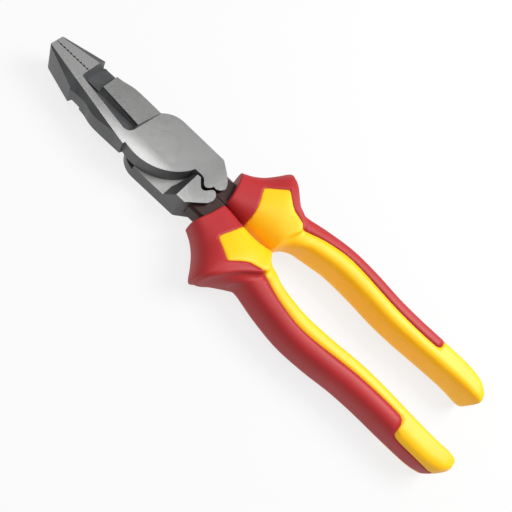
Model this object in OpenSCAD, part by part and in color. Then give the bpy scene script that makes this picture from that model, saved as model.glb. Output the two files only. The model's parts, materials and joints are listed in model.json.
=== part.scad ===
// Heavy-duty insulated lineman's pliers: two forged levers on a flush rivet,
// each carrying a two-component insulated handle.
// Frame: origin on the pivot axis at the flat back face of the head,
// +X right, +Y towards the jaw tips, +Z along the rivet to the front face.

/* [Head] */
// Thickness of the head, face to face
head_t = 15; // [14.5:0.1:15.5]
// Distance from the pivot to the jaw tips
tip_y = 60; // [59:0.5:61]
// Half width of the nose at the tip, on its faces
tip_half_w = 2.8; // [2.6:0.1:3.4]
// Length of the flat gripping nose
nose_l = 17.3; // [17:0.1:18]
// Half width of the nose at its rear end, at mid thickness
nose_half_w = 10; // [9.4:0.1:10.6]
// Half width of the nose at its rear end, on its faces
nose_face_w = 6.3; // [6:0.1:6.8]
// Number of tooth grooves across each gripping face
tooth_count = 9; // [6:1:9]
// Pitch of the teeth
tooth_pitch = 1.75; // [1.5:0.05:1.8]
// Depth of a tooth groove
tooth_depth = 0.45; // [0.3:0.05:0.6]

/* [Cutters] */
// Height of a blade's recessed face above mid thickness
blade_h = 2.4; // [2:0.1:3]
// Half width of the head across the blades
blade_half_w = 12.8; // [12.4:0.1:13]
// Length of the valley between nose and blade
valley_l = 6.7; // [6:0.1:7.4]
// Height of the valley floor above mid thickness
valley_h = 1; // [0.6:0.1:1.4]
// Width of the flat left on each cutting edge
edge_land = 0.3; // [0.2:0.1:0.5]

/* [Pivot] */
// Shank radius of the rivet
rivet_r = 5; // [4.5:0.1:5.5]
// Radius of the rivet's flush countersunk ends
rivet_head_r = 6; // [5.8:0.1:6.4]
// Depth of each countersink
rivet_head_h = 1.5; // [1:0.1:2]
// Radial clearance of the rivet in the lever that turns on it
rivet_gap = 0.05; // [0.03:0.01:0.08]
// Radius of the lapped pivot disc under the boss shoulder
lap_r = 12; // [11.8:0.1:12.1]
// Gap between faces that meet when the jaws are closed
face_gap = 0.1; // [0.06:0.02:0.16]

/* [Shanks] */
// Thickness of the neck and of the tang inside the handle
tang_t = 10; // [9:0.5:11]
// Distance from the pivot to the end of the tang
tang_end = 152; // [140:1:155]

/* [Handles] */
// Distance from the pivot to the handle ends
handle_end = 177; // [175:0.5:180]
// Height of the handle's front above mid thickness
handle_front = 10; // [9:0.5:10.5]
// Depth of the handle's back below mid thickness
handle_back = 8; // [8:0.5:9]
// Height of the guard's ridge above mid thickness
guard_front = 13; // [12.5:0.5:13.5]
// Depth of the guard's ridge below mid thickness
guard_back = 9; // [9:0.5:10]
// Half width over the points of the two guards
guard_half_w = 35.4; // [34:0.2:37]
// Thickness of the soft outer layer
grip_skin = 2.2; // [1.8:0.1:2.6]

/* [Hidden] */
half_t = head_t / 2;
nose_y = tip_y - nose_l;      // rear end of the nose
blade_y = nose_y - valley_l;  // front end of the blade
notch_x = 4.2;                // inner edge of the front strip behind the nose
notch_lean = 0.163;           // how fast that edge moves out towards the boss
shoulder_x = 14.2;            // half width over the boss shoulder
relief_y = 3.4;               // rear end of the shoulder's relief over the other lever's blade
plate_y = -17.7;              // front edge of the crimping plate
draft_y = -13;                // foot of the plate's drafted front wall
sweep_r = 15.6;               // radius kept free round the other lever's boss
neck_x = 0.2;                 // inner side of each neck
neck_w = 12.4;                // outer side of each neck
neck_ease = [2, 1.2];         // chamfers on the neck's outer edges: boss side, other side
seam_edge = 0.25;             // chamfer beside the seam between the two noses
boss_edge = 1.1;              // chamfer on the boss's front edge, over the blade
back_slope = 28;              // fall of the chamfer along the back of the nose, degrees
notch_r = 1.2;                // rounding of the front strip's inner corner behind the nose
big = 60;                     // more than any reach of a cutting block
eps = 0.01;
steel = [0.62, 0.62, 0.6];
yellow = [0.98, 0.82, 0.12];
red = [0.8, 0.17, 0.2];

// ---- levers, drawn about mid thickness: jaw on the left, handle on the right ----

// Points along an arc about a centre, from one angle to another.
function arc(centre, radius, from, to, steps) = [
    for (k = [0:steps])
        let (a = from + (to - from) * k / steps)
        centre + radius * [cos(a), sin(a)]];

// One point of a smooth curve between b and c; a and d are their neighbours.
function blend(a, b, c, d, t) =
    0.5 * (2 * b + (c - a) * t + (2 * a - 5 * b + 4 * c - d) * t * t
           + (3 * b - a - 3 * c + d) * t * t * t);

// Smooth curve through all the given points, in order.
function curve(p, steps) = [
    for (i = [0:len(p) - 2]) for (k = [0:steps - 1])
        blend(p[max(i - 1, 0)], p[i], p[i + 1], p[min(i + 2, len(p) - 1)], k / steps),
    p[len(p) - 1]];

// Outer half of a lever: end of the jaw strip, boss, and the crimping tooth.
boss_outline = concat(
    [[-14, 11.5]],
    arc([7.9, 5], 21.5, 163.5, 249, 18),
    curve([[0.9, -15.3], [0.9, -19.5], [0, -21], [-1.8, -22.5], [-2, -24], [-1, -25], [0.7, -26],
           [0.6, -27.1], [1.4, -28.6], [2.7, -29.6], [4.3, -29.9], [7.1, -28.6], [10, -26]], 4),
    arc([shoulder_x - 2, -20.2], 2, -42, 0, 4),
    arc([shoulder_x - 10.6, 2.2], 10.6, 0, 60, 10),
    curve([[8.6, 11.8], [2.5, 12.9], [-3, 13.6], [-5.6, 12.9], [-7.3, 13.6], [-8.3, 15],
           [-8.6, 17.2]], 4),
    [[-12.5, 18]]);

// Inner half of the crimping plate, with the notch for the other lever's tooth.
plate_outline = concat(
    [[0.3, draft_y]],
    curve([[0.3, -19.5], [2, -20.8], [3.8, -22.5], [3.9, -24], [3, -25], [1, -26.3],
           [0.5, -27.5], [1.5, -29], [3.5, -29.7], [6, -29.3], [7.5, -28.5]], 4),
    [[14.2, -22], [14.2, draft_y]]);

// Jaw seen from the front at mid thickness.
jaw_outline = concat(
    [[-face_gap / 2, tip_y], [-tip_half_w - 0.4, tip_y], [-tip_half_w - 1.1, tip_y - 0.9],
     [-nose_half_w, nose_y]],
    curve([[-nose_half_w - 0.7, nose_y - 0.5], [-nose_half_w - 0.7, blade_y + 2.5],
           [-nose_half_w - 1.2, blade_y - 2.5], [-blade_half_w, blade_y - 9],
           [-blade_half_w - 0.1, 16]], 5),
    [[-blade_half_w, 12], [-10, 11], [-face_gap / 2, 11]]);

// Neck and tang, from behind the crimping plate to deep inside the handle.
tang_outline = [
    [neck_x, -26], [neck_x, -34], [3, -42], [10, -60], [16.5, -76], [18.5, -90], [17, -120],
    [19, -tang_end], [24, -tang_end], [23.5, -120], [25, -90], [23, -76], [18, -60], [14, -42],
    [neck_w, -31], [neck_w, -24], [6, -24]];

// Block that cuts a chamfer to the left of the line a to b, which lies at height z.
module edge_cut(a, b, z, slope) {
    run = b - a;
    translate([a[0], a[1], z])
        rotate([0, 0, atan2(run[1], run[0])])
            rotate([-slope, 0, 0])
                translate([-big, -big, 0])
                    cube([3 * big, 2 * big, big]);
}

// Cutter for a blade's bevel: from a leaning edge at height z down to the cutting edge.
// Each row gives y and the edge's distance from the seam; the rows stand in a convex line.
module bevel_cut(rows, z) {
    hull()
        for (row = rows)
            translate([0, row[0], 0])
                rotate([90, 0, 0])
                    linear_extrude(eps)
                        polygon([[-row[1], z], [-row[1], z + 1], [1, z + 1],
                                 [1, edge_land / 2], [0, edge_land / 2]]);
}

// Grooves that leave the gripping teeth across the jaw face.
module tooth_grooves() {
    side = tooth_depth * sqrt(2);
    for (i = [0:tooth_count - 1])
        translate([-face_gap / 2, nose_y + (i + 0.5) * tooth_pitch, 0])
            rotate([0, 0, 45])
                cube([side, side, head_t + 1], center = true);
}

module jaw() {
    difference() {
        translate([0, 0, -half_t])
            linear_extrude(head_t)
                polygon(jaw_outline);
        // chamfer along the front strip
        edge_cut([-14, 11.5], [-tip_half_w - 0.4, tip_y], half_t, 45);
        // chamfer along the back of the nose
        mirror([0, 0, 1])
            edge_cut([-nose_face_w, nose_y], [-tip_half_w, tip_y], half_t, back_slope);
        // chamfer beside the seam
        edge_cut([-seam_edge, tip_y], [-seam_edge, nose_y], half_t, 45);
        // front bevel between the strip and the cutting edge, valley included
        bevel_cut([[nose_y, notch_x - notch_r], [nose_y - 0.3 * notch_r, notch_x - 0.3 * notch_r],
                   [nose_y - notch_r, notch_x], [10, notch_x + notch_lean * (nose_y - 10)]], half_t);
        // recessed back face of the blade with its own bevel
        translate([-big, blade_y - big, -blade_h - big])
            cube(big);
        mirror([0, 0, 1])
            bevel_cut([[blade_y, 2.4], [10, 0.2]], blade_h);
        // valley between the nose and the blade, on the back
        translate([-big, blade_y - eps, -valley_h - big])
            cube([big, valley_l + eps, big]);
        // room for the other lever's pivot disc
        translate([0, 0, -head_t])
            cylinder(r = lap_r + face_gap, h = head_t, $fn = 96);
        tooth_grooves();
    }
}

module boss() {
    difference() {
        translate([0, 0, face_gap / 2])
            linear_extrude(half_t - face_gap / 2)
                polygon(boss_outline);
        // chamfer on the front edge, wider towards the jaw strip
        intersection() {
            edge_cut([-3, 13.6 - boss_edge], [8.8, 11.8 - boss_edge * 0.6], half_t, 45);
            translate([-5.6, 0, 0])
                cube(big);
        }
        // the shoulder stands clear over the other lever's blade
        difference() {
            translate([0, relief_y, 0])
                cube([big, big, blade_h + face_gap]);
            cylinder(r = lap_r, h = head_t, center = true, $fn = 96);
        }
    }
}

module crimping_plate() {
    difference() {
        translate([0, 0, -half_t])
            linear_extrude(half_t + 0.5)
                polygon(plate_outline);
        mirror([0, 0, 1])
            edge_cut([0, plate_y], [14, plate_y], half_t, atan2(half_t, draft_y - plate_y));
        cylinder(r = sweep_r, h = 2 * head_t, center = true, $fn = 96);
    }
}

module tang() {
    difference() {
        linear_extrude(tang_t, center = true)
            polygon(tang_outline);
        // eased outer edges of the neck, more on the boss side
        for (side = [0, 1])
            mirror([0, 0, side])
                intersection() {
                    edge_cut([neck_w - neck_ease[side], 0], [neck_w - neck_ease[side], -big],
                             tang_t / 2, 45);
                    translate([0, -34, -big])
                        cube([big, 34, 2 * big]);
                }
    }
}

// One forging; both levers are made from it. clearance widens the rivet's bore.
module lever(clearance) {
    difference() {
        union() {
            jaw();
            boss();
            crimping_plate();
            tang();
        }
        cylinder(r = rivet_r + clearance, h = 2 * head_t, center = true, $fn = 64);
        translate([0, 0, half_t - rivet_head_h])
            cylinder(r1 = rivet_r + clearance, r2 = rivet_head_r + clearance,
                     h = rivet_head_h, $fn = 64);
    }
}

// ---- handles, drawn on the right about mid thickness ----

// Stations along a handle: y on the outer side, y on the inner side, inner x, outer x,
// height of the front, depth of the back, and how far the ring bows towards the handle's end.
// The first six are the guard, up to its ridge.
stations = [
    [-30, -35, 0.15, 18, guard_front - 4.4, guard_back - 1.4, 0],
    [-35, -40, 0.15, 21.4, guard_front - 3.5, guard_back - 1, 0],
    [-40, -47, 0.6, 27.2, guard_front - 1.6, guard_back - 0.5, 0.3],
    [-44, -54, 1, guard_half_w - 1.6, guard_front, guard_back, 1.2],
    [-45.3, -58.5, 0.6, guard_half_w, guard_front, guard_back, 2.5],
    [-46.2, -61.6, 0.7, guard_half_w - 0.8, guard_front - 0.2, guard_back - 0.3, 4.4],
    [-50, -64, 3.8, 31.9, handle_front + 0.6, 7.8, 3.8],
    [-53.6, -66, 6.6, 29.2, handle_front - 0.2, 7.4, 2.8],
    [-59.2, -71, 9.9, 24.7, handle_front - 0.2, 7.2, 0.6],
    [-64, -75, 11.2, 24.2, handle_front, handle_back, 0],
    [-75, -80, 12.2, 26.6, handle_front, handle_back, 0],
    [-90, -90, 13.4, 28.8, handle_front, handle_back, 0],
    [-105, -105, 13.1, 28.5, handle_front, handle_back, 0],
    [-120, -120, 12.1, 27.1, handle_front, handle_back, 0],
    [-142, -142, 12.8, 27, handle_front, handle_back, 0],
    [-164, -164, 13.9, 27.2, handle_front, handle_back, 0],
    [4 - handle_end, 4 - handle_end, 13.9, 25.4, handle_front - 0.4, handle_back - 0.2, 0],
    [1.4 - handle_end, -handle_end, 14.6, 23, handle_front - 2, handle_back - 1, 0]];

// The yellow surface seen from the front: guard window, inner strip and end patch.
yellow_outline = [
    [-1, -46.4], [6, -45.2], [11, -43.4], [16.6, -41.5], [22.7, -50.3], [17.4, -56.4],
    [16, -60], [14.9, -65], [15.9, -69.1], [17.8, -73.5], [19.8, -80.6], [21.2, -91.5],
    [21, -98.6], [19.8, -110.6],
    [18.8, -121.4], [18.6, -135.3], [19, -143.7], [19.6, -146.3], [20.8, -147.2], [25.8, -147.6],
    [26.5, -151], [26.3, -165], [23.4, -174.8], [21.5, -handle_end - 2], [-1, -handle_end - 2]];

ring_points = 24;
squareness = 3.4;   // exponent of the rounded sections
inset_ends = 1.5;   // how far the core's own ends stand back

function flat_power(v) = sign(v) * pow(abs(v), 2 / squareness);

// One ring of points at a station, made smaller all round by inset.
function ring(s, inset) = [
    for (i = [0:ring_points - 1])
        let (a = 360 * i / ring_points,
             half_w = (s[3] - s[2]) / 2,
             across = flat_power(cos(a)),
             share = (across + 1) / 2)
        [(s[2] + s[3]) / 2 + across * (half_w - inset),
         s[1] + (s[0] - s[1]) * share * share - s[6] * pow(sin(180 * pow(share, 0.7)), 6),
         flat_power(sin(a)) * ((sin(a) > 0 ? s[4] : s[5]) - inset)]];

function centre(s) = [(s[2] + s[3]) / 2, (s[0] + 3 * s[1]) / 4, 0];

// Closed skin through the rings of the given stations.
module loft(list, inset) {
    n = ring_points;
    last = len(list) - 1;
    rings = [for (s = list) each ring(s, inset)];
    points = concat(rings, [centre(list[0]), centre(list[last])]);
    sides = [for (k = [0:last - 1]) for (i = [0:n - 1])
        let (j = (i + 1) % n)
        each [[k * n + i, (k + 1) * n + j, k * n + j], [k * n + i, (k + 1) * n + i, (k + 1) * n + j]]];
    front = [for (i = [0:n - 1]) [i, (i + 1) % n, len(rings)]];
    rear = [for (i = [0:n - 1]) [last * n + (i + 1) % n, last * n + i, len(rings) + 1]];
    polyhedron(points, concat(sides, front, rear));
}

module handle_form() {
    loft(stations, 0);
}

// What lies under the soft layer.
module core_form() {
    last = len(stations) - 1;
    step = [inset_ends, inset_ends, 0, 0, 0, 0, 0];
    loft([for (k = [0:last - 1]) k == 0 ? stations[0] - step : stations[k]], grip_skin);
}

module yellow_region() {
    linear_extrude(4 * guard_front, center = true)
        polygon(yellow_outline);
}

// turned is 1 for the handle of the lever that is turned over.
module handle_core(turned) {
    color(yellow)
        difference() {
            union() {
                core_form();
                intersection() {
                    handle_form();
                    yellow_region();
                }
            }
            mirror([0, 0, turned])
                tang();
        }
}

module handle_grip(turned) {
    color(red)
        difference() {
            handle_form();
            yellow_region();
            core_form();
            mirror([0, 0, turned])
                tang();
        }
}

// ---- sub-parts in place ----

module at_mid_thickness() {
    translate([0, 0, half_t])
        children();
}

module front_lever() {
    color(steel)
        at_mid_thickness() lever(rivet_gap);
}

module back_lever() {
    color(steel)
        at_mid_thickness() rotate([0, 180, 0]) lever(0);
}

module pivot_rivet() {
    color(steel)
        rotate_extrude($fn = 64)
            polygon([[0, 0], [rivet_head_r, 0], [rivet_r, rivet_head_h],
                     [rivet_r, head_t - rivet_head_h], [rivet_head_r, head_t], [0, head_t]]);
}

front_lever();
back_lever();
pivot_rivet();
at_mid_thickness() mirror([1, 0, 0]) handle_core(1);  // left_handle_core
at_mid_thickness() mirror([1, 0, 0]) handle_grip(1);  // left_handle_grip
at_mid_thickness() handle_core(0);  // right_handle_core
at_mid_thickness() handle_grip(0);  // right_handle_grip
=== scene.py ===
import json
import math
import bmesh
import bpy
from mathutils import Matrix, Vector


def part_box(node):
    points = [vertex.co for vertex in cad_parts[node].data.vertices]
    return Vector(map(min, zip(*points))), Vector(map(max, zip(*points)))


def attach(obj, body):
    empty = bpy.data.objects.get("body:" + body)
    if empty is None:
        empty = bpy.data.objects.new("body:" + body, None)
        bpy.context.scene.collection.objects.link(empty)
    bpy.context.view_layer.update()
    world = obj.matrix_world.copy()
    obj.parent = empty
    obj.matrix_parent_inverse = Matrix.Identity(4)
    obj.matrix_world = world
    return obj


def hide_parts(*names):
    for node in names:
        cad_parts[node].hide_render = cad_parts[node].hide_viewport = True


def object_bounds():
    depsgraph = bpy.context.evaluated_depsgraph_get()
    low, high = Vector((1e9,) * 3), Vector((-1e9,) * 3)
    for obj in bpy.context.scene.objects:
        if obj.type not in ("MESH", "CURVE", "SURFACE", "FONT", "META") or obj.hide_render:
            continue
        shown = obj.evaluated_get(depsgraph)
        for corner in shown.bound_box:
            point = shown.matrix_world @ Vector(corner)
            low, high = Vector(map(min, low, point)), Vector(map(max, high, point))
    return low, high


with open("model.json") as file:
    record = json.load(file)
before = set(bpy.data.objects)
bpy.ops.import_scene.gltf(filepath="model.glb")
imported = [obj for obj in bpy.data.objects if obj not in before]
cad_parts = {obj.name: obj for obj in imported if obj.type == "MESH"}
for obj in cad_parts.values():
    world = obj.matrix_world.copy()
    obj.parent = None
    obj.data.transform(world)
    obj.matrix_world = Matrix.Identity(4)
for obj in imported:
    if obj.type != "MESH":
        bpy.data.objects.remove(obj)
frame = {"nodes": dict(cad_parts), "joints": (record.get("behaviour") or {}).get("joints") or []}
cad_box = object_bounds()

MM = 0.001

# ---- driving sizes, from the frame, in millimetres about mid thickness ----
grip_low, grip_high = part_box("right_handle_grip")
MID_Z = frame["joints"][0]["pos_m"][2] / MM
HALF_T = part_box("pivot_rivet")[1].z / MM - MID_Z
GUARD_X = grip_high.x / MM
GUARD_FRONT = grip_high.z / MM - MID_Z
GUARD_BACK = MID_Z - grip_low.z / MM
BLADE_H = 2.4         # height of a blade's recessed face
BLADE_REAR = 9.0      # rear end of the blades, along Y
FRONT = 10.0          # height of the handle's front
BACK = 8.0            # depth of the handle's back
SKIN = 1.6            # thickness of the soft layer
PARTING = 0.22        # depth of the parting line between the two mouldings
FRONT_RIM = 1.1       # rounding of the handle's front rim
END_RIM = 2.2         # rounding of the handle's end
END_BULGE = 0.45      # how far the end bulges, as a share of its rounding
END_DOME = 0.3        # how far the end's middle stands out beyond that
EDGE = 0.22           # broken edges of the forgings
EDGE_ANGLE = 58       # only edges sharper than this are broken, in degrees
CROWN_FROM = 6.0      # distance left of the middle where the ground faces begin to fall away
CROWN = 4.0           # how fast they fall, per metre

# ---- fineness of the handle's surface ----
RING_POINTS = 96      # points round one ring
STEPS = 9             # rings between two stations
RIM_STEPS = 6         # rings round the front rim
END_STEPS = 7         # rings round the end
OUTLINE_STEPS = 5     # points between two corners of the yellow outline
FRONT_CAP = (0.02, 0.25, 0.45, 0.62, 0.76, 0.87, 0.95)    # ring sizes over the front face
END_CAP = (0.9, 0.75, 0.55, 0.3, 0.02)                    # ring sizes over the end
SLANT = 1.8           # how the slant of a ring gathers on its outer side
BOW_PLACE = 0.7       # moves the bow of a ring towards its inner side
BOW_WIDTH = 6         # a higher number gives a narrower bow
MERGE = 1e-7          # points of a piece closer than this are one, in metres
CAD_MERGE = 2e-6      # the same for the levers' meshes


# ---- handle form, drawn on the right ----
# Stations: y outside, y inside, inner x, outer x, front height, back depth, the squareness
# of the inner front, the outer front and the back corners, and the bow towards the end.
STATIONS = [
    (-30.2, -35.0, 0.25, 18.0, 8.6, 7.6, 3.2, 3.6, 3.0, 0.0),
    (-34.0, -39.0, 0.25, 20.6, 9.2, 7.8, 2.8, 3.2, 2.8, 0.0),
    (-38.0, -44.0, 0.7, 24.5, 10.1, 8.2, 2.4, 3.0, 2.6, 0.2),
    (-41.6, -49.0, 1.3, 29.6, 11.7, 8.6, 2.2, 2.9, 2.4, 0.6),
    (-44.0, -54.0, 1.4, GUARD_X - 1.6, GUARD_FRONT - 0.1, 8.9, 2.1, 2.8, 2.2, 1.5),
    (-45.3, -58.5, 0.9, GUARD_X - 0.2, GUARD_FRONT - 0.05, GUARD_BACK, 2.2, 3.1, 2.1, 3.0),
    (-46.2, -61.6, 0.8, GUARD_X - 1.0, GUARD_FRONT - 0.1, 8.7, 2.4, 3.5, 2.0, 4.4),
    (-48.0, -62.8, 1.9, 33.8, 12.5, 8.3, 2.5, 3.4, 1.9, 4.4),
    (-50.0, -64.0, 3.8, 31.9, 10.6, 7.6, 2.9, 2.9, 1.9, 3.9),
    (-53.6, -66.0, 6.2, 29.2, 9.9, 7.0, 3.5, 2.4, 1.9, 2.8),
    (-57.2, -69.0, 8.2, 26.4, 9.9, 6.7, 4.5, 2.4, 2.0, 1.4),
    (-59.2, -71.0, 9.4, 24.7, 9.9, 7.0, 4.8, 2.6, 2.2, 0.7),
    (-63.0, -74.0, 10.8, 24.0, 9.9, 7.7, 4.5, 3.0, 2.6, 0.1),
    (-75.0, -80.0, 12.1, 26.6, FRONT, BACK, 4.5, 3.0, 2.8, 0.0),
    (-90.0, -90.0, 13.4, 28.8, FRONT, BACK, 4.5, 3.0, 2.8, 0.0),
    (-105.0, -105.0, 13.1, 28.5, FRONT, BACK, 4.5, 3.0, 2.8, 0.0),
    (-120.0, -120.0, 12.1, 27.1, FRONT, BACK, 4.5, 3.0, 2.8, 0.0),
    (-134.0, -134.0, 12.3, 26.8, FRONT, BACK, 4.5, 3.0, 2.8, 0.0),
    (-150.0, -150.0, 13.3, 27.2, FRONT, BACK, 4.5, 3.0, 2.8, 0.0),
    (-164.0, -164.0, 13.9, 27.2, FRONT, BACK, 4.5, 3.0, 2.8, 0.0),
    (-171.0, -171.8, 13.8, 26.0, 9.8, BACK, 4.5, 2.8, 3.2, 0.0),
    (-174.0, -175.0, 13.9, 24.6, 9.3, 7.8, 4.2, 2.6, 3.6, 0.0),
    (-175.6, -176.6, 14.2, 23.0, 8.6, 7.4, 4.0, 2.4, 3.6, 0.0),
]

# Visible yellow surface in plan: guard window, inner strip and end patch.
YELLOW = [
    (-2.0, -46.2), (3.0, -45.9), (7.0, -44.9), (11.0, -43.4), (15.6, -41.5), (16.9, -41.8),
    (19.6, -45.5), (22.6, -49.4), (22.7, -50.6), (20.6, -52.8), (17.9, -55.8), (16.8, -57.4),
    (16.2, -59.4), (15.6, -61.4), (15.2, -63.2), (14.8, -65.0), (14.9, -66.5), (15.9, -69.1),
    (17.3, -72.6), (18.8, -77.0), (20.6, -85.0), (21.2, -91.5), (20.9, -99.0), (19.9, -109.0),
    (18.9, -120.0), (18.6, -132.0), (18.9, -143.0), (19.5, -146.0), (21.0, -147.1),
    (23.6, -147.3), (25.8, -147.8), (26.5, -149.6), (26.75, -156.0), (26.75, -165.0),
    (26.0, -170.5), (24.9, -174.0), (24.2, -180.0), (-2.0, -180.0),
]


def catmull(a, b, c, d, t):
    """One value of a smooth curve from b to c."""
    return 0.5 * (2 * b + (c - a) * t + (2 * a - 5 * b + 4 * c - d) * t * t
                  + (3 * b - a - 3 * c + d) * t ** 3)


def smooth_rows(rows, steps):
    """Rows of numbers, blended smoothly with steps rows per span."""
    out = []
    last = len(rows) - 1
    for i in range(last):
        a, b = rows[max(i - 1, 0)], rows[i]
        c, d = rows[i + 1], rows[min(i + 2, last)]
        for k in range(steps):
            out.append([catmull(p, q, r, s, k / steps) for p, q, r, s in zip(a, b, c, d)])
    out.append(list(rows[last]))
    return out


def power(value, exponent):
    """A power that keeps the value's sign."""
    return math.copysign(abs(value) ** exponent, value)


def section_point(row, angle, inset, scale, push):
    """A point of the rounded section at a station; push moves it along the handle."""
    y_out, y_in, x_in, x_out, front, back, n_in, n_out, n_back, bow = row
    half_w = ((x_out - x_in) / 2 - inset) * scale
    if math.sin(angle) < 0:
        height, n = back, n_back
    else:
        height, n = front, n_out if math.cos(angle) > 0 else n_in
    across = power(math.cos(angle), 2 / n)
    share = min(max((across * half_w / ((x_out - x_in) / 2) + 1) / 2, 0), 1)
    x = (x_in + x_out) / 2 + across * half_w
    bent = bow * math.sin(math.pi * share ** BOW_PLACE) ** BOW_WIDTH
    y = y_in + (y_out - y_in) * share ** SLANT + push - bent
    z = power(math.sin(angle), 2 / n) * (height - inset) * scale
    return Vector((x, y, z))


def form_rings():
    """Rings of points over the whole handle, from the middle of the front face to the end."""
    rows = smooth_rows(STATIONS, STEPS)
    plan = []
    front, rear = rows[0], rows[-1]
    for scale in FRONT_CAP:
        plan.append((front, FRONT_RIM, scale, FRONT_RIM))
    for k in range(RIM_STEPS + 1):
        bend = math.pi / 2 * k / RIM_STEPS
        plan.append((front, FRONT_RIM * (1 - math.sin(bend)), 1, FRONT_RIM * math.cos(bend)))
    for row in rows[1:-1]:
        plan.append((row, 0, 1, 0))
    bulge = END_RIM * END_BULGE
    for k in range(END_STEPS + 1):
        bend = math.pi / 2 * k / END_STEPS
        plan.append((rear, END_RIM * (1 - math.cos(bend)), 1, -bulge * math.sin(bend)))
    for scale in END_CAP:
        plan.append((rear, END_RIM, scale, -bulge - END_DOME * (1 - scale)))
    rings = []
    for row, inset, scale, push in plan:
        rings.append([section_point(row, 2 * math.pi * i / RING_POINTS, inset, scale, push)
                      for i in range(RING_POINTS)])
    return rings


def plan_distance(p, outline):
    """Signed distance in plan to a closed outline, positive inside."""
    best = 1e9
    inside = False
    x, y = p.x, p.y
    count = len(outline)
    for i in range(count):
        ax, ay = outline[i]
        bx, by = outline[(i + 1) % count]
        dx, dy = bx - ax, by - ay
        t = min(max(((x - ax) * dx + (y - ay) * dy) / (dx * dx + dy * dy), 0), 1)
        best = min(best, (x - ax - t * dx) ** 2 + (y - ay - t * dy) ** 2)
        if (ay > y) != (by > y) and x < ax + (y - ay) * dx / dy:
            inside = not inside
    return math.sqrt(best) * (1 if inside else -1)


def snapped_grid():
    """The form's points with the colour boundary running exactly along grid points."""
    rings = form_rings()
    outline = smooth_rows(YELLOW, OUTLINE_STEPS)
    field = [[plan_distance(p, outline) for p in ring] for ring in rings]
    moved = {}
    rows = len(rings)

    def note(a, b):
        """Where the boundary crosses the edge a to b, move the nearer end onto it."""
        fa, fb = field[a[0]][a[1]], field[b[0]][b[1]]
        if fa * fb >= 0:
            return
        share = fa / (fa - fb)
        near, far, part = (a, b, share) if share <= 0.5 else (b, a, 1 - share)
        if near not in moved or part < moved[near][0]:
            spot = rings[near[0]][near[1]].lerp(rings[far[0]][far[1]], part)
            moved[near] = (part, spot)

    for r in range(rows):
        for i in range(RING_POINTS):
            j = (i + 1) % RING_POINTS
            note((r, i), (r, j))
            if r + 1 < rows:
                note((r, i), (r + 1, i))
    for (r, i), (_, spot) in moved.items():
        rings[r][i] = spot
        field[r][i] = 0.0
    return rings, field


def grid_faces(rings, field):
    """Faces of the form, each with +1 for yellow or -1 for red."""
    faces = []
    count = RING_POINTS
    for r in range(len(rings) - 1):
        for i in range(count):
            j = (i + 1) % count
            loop = [(r, i), (r, j), (r + 1, j), (r + 1, i)]
            sign = [field[a][b] for a, b in loop]
            # a face that the boundary still crosses is split along its diagonal
            if max(sign) > 0 > min(sign):
                if sign[0] == 0 and sign[2] == 0:
                    parts = [[0, 1, 2], [0, 2, 3]]
                else:
                    parts = [[1, 2, 3], [1, 3, 0]]
            else:
                parts = [[0, 1, 2, 3]]
            for part in parts:
                total = sum(sign[k] for k in part)
                faces.append(([loop[k] for k in part], 1 if total > 0 else -1))
    return faces


def handle_meshes():
    """Point positions and faces of the yellow core and the red grip, in millimetres.

    The core runs on under the grip at its inner surface, and both dip at the parting line.
    """
    rings, field = snapped_grid()
    faces = grid_faces(rings, field)
    count = RING_POINTS
    ids = {(r, i): r * count + i for r in range(len(rings)) for i in range(count)}
    points = [p for ring in rings for p in ring]
    normals = [Vector() for _ in points]
    for loop, _ in faces:
        spots = [points[ids[k]] for k in loop]
        normal = (spots[1] - spots[0]).cross(spots[-1] - spots[0])
        for k in loop:
            normals[ids[k]] += normal
    for n in normals:
        n.normalize()
    if normals[0].dot(Vector((0, 1, 0))) < 0:
        normals = [-n for n in normals]
    edge = set()
    for loop, _ in faces:
        for k in loop:
            if field[k[0]][k[1]] == 0.0:
                edge.add(ids[k])
    surface = [p - normals[i] * PARTING if i in edge else p.copy() for i, p in enumerate(points)]
    deep = [p - normals[i] * SKIN for i, p in enumerate(points)]
    last = (len(rings) - 1) * count
    pieces = {}
    for colour, name in ((1, "core"), (-1, "grip")):
        verts = []
        lookup = {}
        out = []

        def vertex(i, low):
            key = (i, low)
            if key not in lookup:
                lookup[key] = len(verts)
                verts.append(deep[i] if low else surface[i])
            return lookup[key]

        sides = []
        for loop, kind in faces:
            flat = [ids[k] for k in loop]
            if kind == colour:
                out.append([vertex(i, False) for i in flat])
                sides.extend(zip(flat, flat[1:] + flat[:1]))
            if kind == -1:
                # the surface between core and grip, seen from either side
                under = flat if colour == 1 else flat[::-1]
                out.append([vertex(i, True) for i in under])
        # walls of the parting line, where no face of this colour lies on the other side
        taken = set(sides)
        for a, b in sides:
            if (b, a) not in taken and a in edge and b in edge:
                out.append([vertex(b, False), vertex(a, False), vertex(a, True), vertex(b, True)])
        first, final = list(range(count)), list(range(last, last + count))
        if colour == 1:
            out.append([vertex(i, True) for i in reversed(first)])
            out.append([vertex(i, False) for i in final])
        else:
            out.append([vertex(i, False) for i in reversed(first)])
            out.append([vertex(i, True) for i in first])
        pieces[name] = (verts, out)
    return pieces


def make_object(name, points, faces, side):
    """A mesh piece in the part's frame; side is 1 on the right, -1 on the left."""
    mesh = bpy.data.meshes.new(name)
    spots = [((p.x * side) * MM, p.y * MM, (p.z + MID_Z) * MM) for p in points]
    mesh.from_pydata(spots, [], faces)
    mesh.validate()
    bm = bmesh.new()
    bm.from_mesh(mesh)
    bmesh.ops.remove_doubles(bm, verts=bm.verts, dist=MERGE)
    bmesh.ops.recalc_face_normals(bm, faces=bm.faces)
    bm.to_mesh(mesh)
    bm.free()
    mesh.shade_smooth()
    obj = bpy.data.objects.new(name, mesh)
    bpy.context.scene.collection.objects.link(obj)
    return obj


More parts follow.
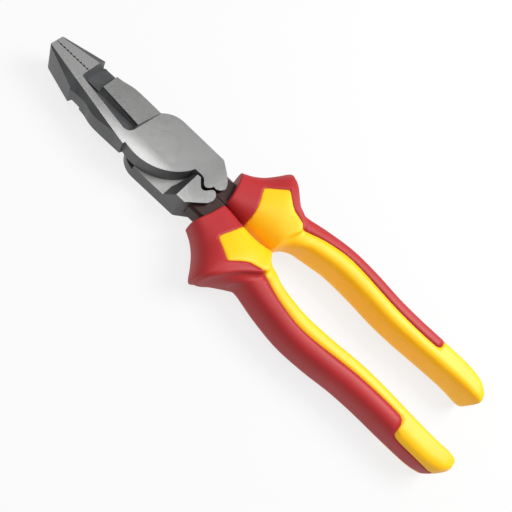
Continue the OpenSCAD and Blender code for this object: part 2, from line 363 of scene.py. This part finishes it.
# ---- materials ----
# Colours of the steel; a pair is the two ends between which the surface drifts.
GROUND = ((0.52, 0.52, 0.515, 1), (0.60, 0.60, 0.595, 1))
CLOUDED = (0.44, 0.44, 0.435, 1)
SATIN = (0.66, 0.66, 0.655, 1)
PITTED = (0.30, 0.30, 0.295, 1)
NOSE_TONE = (0.78, 0.78, 0.775, 1)
DULL_TONE = (0.33, 0.33, 0.325, 1)
OXIDE = ((0.052, 0.053, 0.055, 1), (0.078, 0.080, 0.083, 1))
OXIDE_GRAIN = (0.13, 0.13, 0.13, 1)
# painted light: a lighter oxide colour for steep walls, standing in for light falling on them
# from the side
WALL_LIGHT_PAINT = ((0.085, 0.087, 0.090, 1), (0.125, 0.127, 0.130, 1))
NECK_SCALE = ((0.022, 0.009, 0.007, 1), (0.045, 0.024, 0.020, 1))
LAPPED = ((0.22, 0.22, 0.215, 1), (0.42, 0.42, 0.41, 1))
# Colours of the two plastics, each the pair between which it drifts.
YELLOWS = ((0.92, 0.48, 0.006, 1), (0.93, 0.51, 0.009, 1))
REDS = ((0.355, 0.015, 0.018, 1), (0.395, 0.018, 0.021, 1))

NOSE_Y = (30.0, 44.0)        # the finish turns brighter between these, towards the nose
NEST_Y = (-12.0, -22.0)      # it turns duller here, towards the crimping nest
NECK_Y = (-19.0, -25.0)      # and here the neck's scale begins
# painted light: the walls' lighter colour fades in as the normal turns from upright to steep
WALL_LIGHT_FACING = (0.35, 0.25)   # upright share of the normal where the walls' tone begins
FLAT = 0.985                 # upright share of the normal on a flat face
LEVEL = 0.06                 # how near a face's height a point has to be, in millimetres
LAPPED_H = 0.3               # faces this near mid thickness are the lapped ones
STEEL_RELIEF = 0.000012      # depth of the steel's grain, in metres
PLASTIC_RELIEF = 0.00003     # depth of the plastics' grain, in metres


class Nodes:
    """Short way to add and link shader nodes."""

    def __init__(self, name):
        self.material = bpy.data.materials.new(name)
        self.material.use_nodes = True
        self.tree = self.material.node_tree
        self.shader = self.tree.nodes["Principled BSDF"]

    def feed(self, socket, value):
        """Link a socket's output to an input, or set the input to a plain value."""
        if isinstance(value, bpy.types.NodeSocket):
            self.tree.links.new(value, socket)
        else:
            socket.default_value = value

    def add(self, kind, inputs=None, **settings):
        node = self.tree.nodes.new(kind)
        for key, value in settings.items():
            setattr(node, key, value)
        for key, value in (inputs or {}).items():
            self.feed(node.inputs[key], value)
        return node

    def set(self, **inputs):
        """Feed the surface shader; an underscore stands for a space in an input's name."""
        for key, value in inputs.items():
            self.feed(self.shader.inputs[key.replace("_", " ")], value)

    def math(self, operation, a, b=0.0, c=0.0):
        return self.add("ShaderNodeMath", {0: a, 1: b, 2: c}, operation=operation).outputs[0]

    def mix(self, share, a, b):
        """A colour between a and b."""
        return self.add("ShaderNodeMix", {0: share, 6: a, 7: b}, data_type="RGBA").outputs[2]

    def mix_value(self, share, a, b):
        """A number between a and b."""
        return self.add("ShaderNodeMix", {0: share, 2: a, 3: b}, data_type="FLOAT").outputs[0]

    def noise(self, scale, detail, roughness, place):
        inputs = {"Vector": place, "Scale": scale, "Detail": detail, "Roughness": roughness}
        return self.add("ShaderNodeTexNoise", inputs).outputs["Fac"]

    def ramp(self, value, low, high):
        """From 0 at low to 1 at high, eased at both ends."""
        inputs = {"Value": value, "From Min": low, "From Max": high}
        node = self.add("ShaderNodeMapRange", inputs, interpolation_type="SMOOTHSTEP")
        return node.outputs["Result"]

    def bump(self, height, distance, strength=1.0):
        inputs = {"Height": height, "Distance": distance, "Strength": strength}
        return self.add("ShaderNodeBump", inputs).outputs["Normal"]


def steel_material(name):
    """Forged steel: black oxide all over, ground bright on the flat faces."""
    n = Nodes(name)
    place = n.add("ShaderNodeTexCoord").outputs["Object"]
    axes = n.add("ShaderNodeSeparateXYZ", {"Vector": place}).outputs
    true_normal = n.add("ShaderNodeNewGeometry").outputs["True Normal"]
    facing = n.add("ShaderNodeSeparateXYZ", {"Vector": true_normal}).outputs
    upright = n.math("ABSOLUTE", facing["Z"])
    height = n.math("ABSOLUTE", n.math("SUBTRACT", axes["Z"], MID_Z * MM))

    def along(span):
        return n.ramp(axes["Y"], span[0] * MM, span[1] * MM)

    # where each finish lies
    flat = n.math("GREATER_THAN", upright, FLAT)
    face = n.math("GREATER_THAN", height, (HALF_T - LEVEL) * MM)
    blade = n.math("COMPARE", height, BLADE_H * MM, LEVEL * MM)
    blade = n.math("MULTIPLY", blade, n.math("GREATER_THAN", axes["Y"], BLADE_REAR * MM))
    ground = n.math("MULTIPLY", n.math("MAXIMUM", face, blade), flat)
    lapped = n.math("MULTIPLY", n.math("LESS_THAN", height, LAPPED_H * MM), flat)
    # mask of the painted light on steep walls
    wall_light_mask = n.ramp(upright, *WALL_LIGHT_FACING)
    neck = along(NECK_Y)

    # grinding lines run across the tool, so they are thin along Y
    stretch = {"Vector": place, "Scale": (400.0, 2600.0, 400.0)}
    stretched = n.add("ShaderNodeMapping", stretch).outputs[0]
    lines = n.noise(1.0, 4.0, 0.65, stretched)
    cloud = n.noise(110.0, 3.0, 0.5, place)
    grain = n.noise(2600.0, 2.0, 0.6, place)
    satin = n.noise(1000.0, 4.0, 0.75, place)
    pits = n.ramp(n.noise(1500.0, 3.0, 0.7, place), 0.62, 0.8)
    scale = n.noise(700.0, 3.0, 0.6, place)

    def blotches(noise, low, high, share):
        return n.math("MULTIPLY", n.ramp(noise, low, high), share)

    # the ground faces turn brighter towards the nose, and duller on the blades and towards the
    # crimping nest
    bright = n.mix(n.ramp(lines, 0.3, 0.7), *GROUND)
    bright = n.mix(blotches(cloud, 0.35, 0.7, 0.3), bright, CLOUDED)
    bright = n.mix(blotches(satin, 0.35, 0.7, 0.4), bright, SATIN)
    bright = n.mix(n.math("MULTIPLY", pits, 0.4), bright, PITTED)
    bright = n.mix(n.math("MULTIPLY", along(NOSE_Y), 0.5), bright, NOSE_TONE)
    dull = n.math("MAXIMUM", blade, along(NEST_Y))
    bright = n.mix(n.math("MULTIPLY", dull, 0.28), bright, DULL_TONE)

    # oxide, with painted light making the steep walls lighter, and brown forging scale left on
    # the neck
    dark = n.mix(n.ramp(cloud, 0.3, 0.7), *OXIDE)
    dark = n.mix(blotches(grain, 0.5, 0.75, 0.35), dark, OXIDE_GRAIN)
    dark = n.mix(wall_light_mask, dark, n.mix(cloud, *WALL_LIGHT_PAINT))
    dark = n.mix(neck, dark, n.mix(grain, *NECK_SCALE))
    colour = n.mix(lapped, dark, n.mix(grain, *LAPPED))
    colour = n.mix(ground, colour, bright)

    rough_ground = n.math("MULTIPLY_ADD", n.ramp(lines, 0.25, 0.75), 0.06, 0.2)
    rough_dark = n.math("MULTIPLY_ADD", grain, 0.2, n.math("MULTIPLY_ADD", lapped, 0.1, 0.32))
    rough_dark = n.math("MULTIPLY_ADD", neck, -0.1, rough_dark)
    rough = n.mix_value(ground, rough_dark, rough_ground)
    metal = n.math("MULTIPLY_ADD", ground, 0.7, 0.25)

    # relief: grain on the oxide, faint lines on the ground faces, coarse scale on the neck
    relief = n.math("MULTIPLY", n.math("SUBTRACT", 1.0, ground), grain)
    relief = n.math("MULTIPLY_ADD", n.math("MULTIPLY", lines, ground), 0.05, relief)
    relief = n.math("MULTIPLY_ADD", n.math("MULTIPLY", neck, scale), 5.0, relief)
    # the ground faces fall away a little towards the left edge
    beyond = n.math("MAXIMUM", n.math("SUBTRACT", -CROWN_FROM * MM, axes["X"]), 0.0)
    fall = n.math("MULTIPLY", n.math("MULTIPLY", beyond, beyond), ground)
    relief = n.math("MULTIPLY_ADD", fall, -CROWN, n.math("MULTIPLY", relief, STEEL_RELIEF))
    n.set(Base_Color=colour, Metallic=metal, Roughness=rough,
          Normal=n.bump(relief, 1.0), Specular_IOR_Level=0.3)
    return n.material


def plastic_material(name, colours, roughness, shine, grain_size):
    """Moulded plastic with slight colour drift and a fine grained surface."""
    n = Nodes(name)
    place = n.add("ShaderNodeTexCoord").outputs["Object"]
    drift = n.noise(45.0, 2.0, 0.5, place)
    grain = n.noise(grain_size, 3.0, 0.65, place)
    colour = n.mix(n.ramp(drift, 0.3, 0.7), *colours)
    rough = n.math("MULTIPLY_ADD", grain, 0.12, roughness)
    n.set(Base_Color=colour, Roughness=rough, Normal=n.bump(grain, PLASTIC_RELIEF, 0.35),
          Specular_IOR_Level=shine)
    return n.material


# ---- stage ----
# The camera's lens in millimetres, its place in metres and its axes.
LENS = 39.15
SENSOR = 36
NEAREST = 0.01
CAMERA_PLACE = Vector((-0.12744, -0.0417, 0.20894))
CAMERA_RIGHT = Vector((0.5599, -0.7251, 0.4009))
CAMERA_UP = Vector((0.6468, 0.6849, 0.3356))

# Area lights: place, target, size in metres, and watts.
LIGHTS = {
    "key": ((0.45, -0.42, 0.7), (0, -0.06, 0), (0.5, 0.5), 10),
    "top": ((-0.05, 0.1, 0.9), (0, -0.06, 0), (0.6, 0.6), 3),
    "fill": ((-0.6, 0.45, 0.25), (0, 0, 0), (0.5, 0.5), 0.3),
    "glint": ((0.40, 0.20, 0.89), (0, 0, 0), (0.17, 0.08), 0.12),
}
WORLD_LIGHT = 0.34    # brightness of the white surroundings
FLOOR_SIZE = 3        # half width of the floor, in metres
FLOOR_TONE = 0.12     # how much of the light, and so of the shadow, the floor shows
FLOOR_GLOW = 0.79     # the floor's own even white


def add_camera():
    data = bpy.data.cameras.new("camera")
    data.lens = LENS
    data.sensor_width = SENSOR
    data.clip_start = NEAREST
    camera = bpy.data.objects.new("camera", data)
    back = CAMERA_RIGHT.cross(CAMERA_UP)
    place = Matrix((CAMERA_RIGHT, CAMERA_UP, back)).transposed().to_4x4()
    place.translation = CAMERA_PLACE
    camera.matrix_world = place
    bpy.context.scene.collection.objects.link(camera)
    bpy.context.scene.camera = camera


def add_area(name, place, target, size, watts):
    data = bpy.data.lights.new(name, "AREA")
    data.shape = "RECTANGLE"
    data.size, data.size_y = size
    data.energy = watts
    light = bpy.data.objects.new(name, data)
    light.location = place
    light.rotation_euler = (Vector(target) - Vector(place)).to_track_quat("-Z", "Y").to_euler()
    bpy.context.scene.collection.objects.link(light)


def add_stage():
    """A plain floor under the tool, even light from all round, and the lamps."""
    bm = bmesh.new()
    bmesh.ops.create_grid(bm, x_segments=2, y_segments=2, size=FLOOR_SIZE)
    mesh = bpy.data.meshes.new("floor")
    bm.to_mesh(mesh)
    bm.free()
    floor = bpy.data.objects.new("floor", mesh)
    floor.location = (0, 0, cad_box[0][2])
    bpy.context.scene.collection.objects.link(floor)
    n = Nodes("floor")
    n.set(Base_Color=(FLOOR_TONE, FLOOR_TONE, FLOOR_TONE, 1), Roughness=0.9,
          Specular_IOR_Level=0.1, Emission_Color=(1, 1, 1, 1), Emission_Strength=FLOOR_GLOW)
    mesh.materials.append(n.material)
    world = bpy.data.worlds.new("studio")
    bpy.context.scene.world = world
    world.use_nodes = True
    background = world.node_tree.nodes["Background"].inputs
    background["Color"].default_value = (1, 1, 1, 1)
    background["Strength"].default_value = WORLD_LIGHT
    for name, (spot, target, size, watts) in LIGHTS.items():
        add_area(name, spot, target, size, watts)
    bpy.context.scene.view_settings.view_transform = "Standard"


# ---- build ----

add_camera()
add_stage()

STEEL = steel_material("forged_steel")
YELLOW_PLASTIC = plastic_material("yellow_plastic", YELLOWS,
                                  roughness=0.36, shine=0.28, grain_size=2400.0)
RED_PLASTIC = plastic_material("red_plastic", REDS,
                               roughness=0.45, shine=0.33, grain_size=2000.0)

for node in ("front_lever", "back_lever", "pivot_rivet"):
    obj = frame["nodes"][node]
    obj.data.materials.clear()
    obj.data.materials.append(STEEL)
    if node != "pivot_rivet":
        weld = obj.modifiers.new("weld", "WELD")
        weld.merge_threshold = CAD_MERGE
        bevel = obj.modifiers.new("edges", "BEVEL")
        bevel.width = EDGE * MM
        bevel.segments = 2
        bevel.limit_method = "ANGLE"
        bevel.angle_limit = math.radians(EDGE_ANGLE)
        bevel.harden_normals = True

pieces = handle_meshes()
for side, word, body in ((-1, "left", "back_half"), (1, "right", "front_half")):
    for part, material, slot in (("core", YELLOW_PLASTIC, "yellow_plastic"),
                                 ("grip", RED_PLASTIC, "red_grip")):
        points, faces = pieces[part]
        obj = make_object(f"{word}_{part}", points, faces, side)
        obj.data.materials.append(material)
        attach(obj, body)
        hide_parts(f"{word}_handle_{part}")
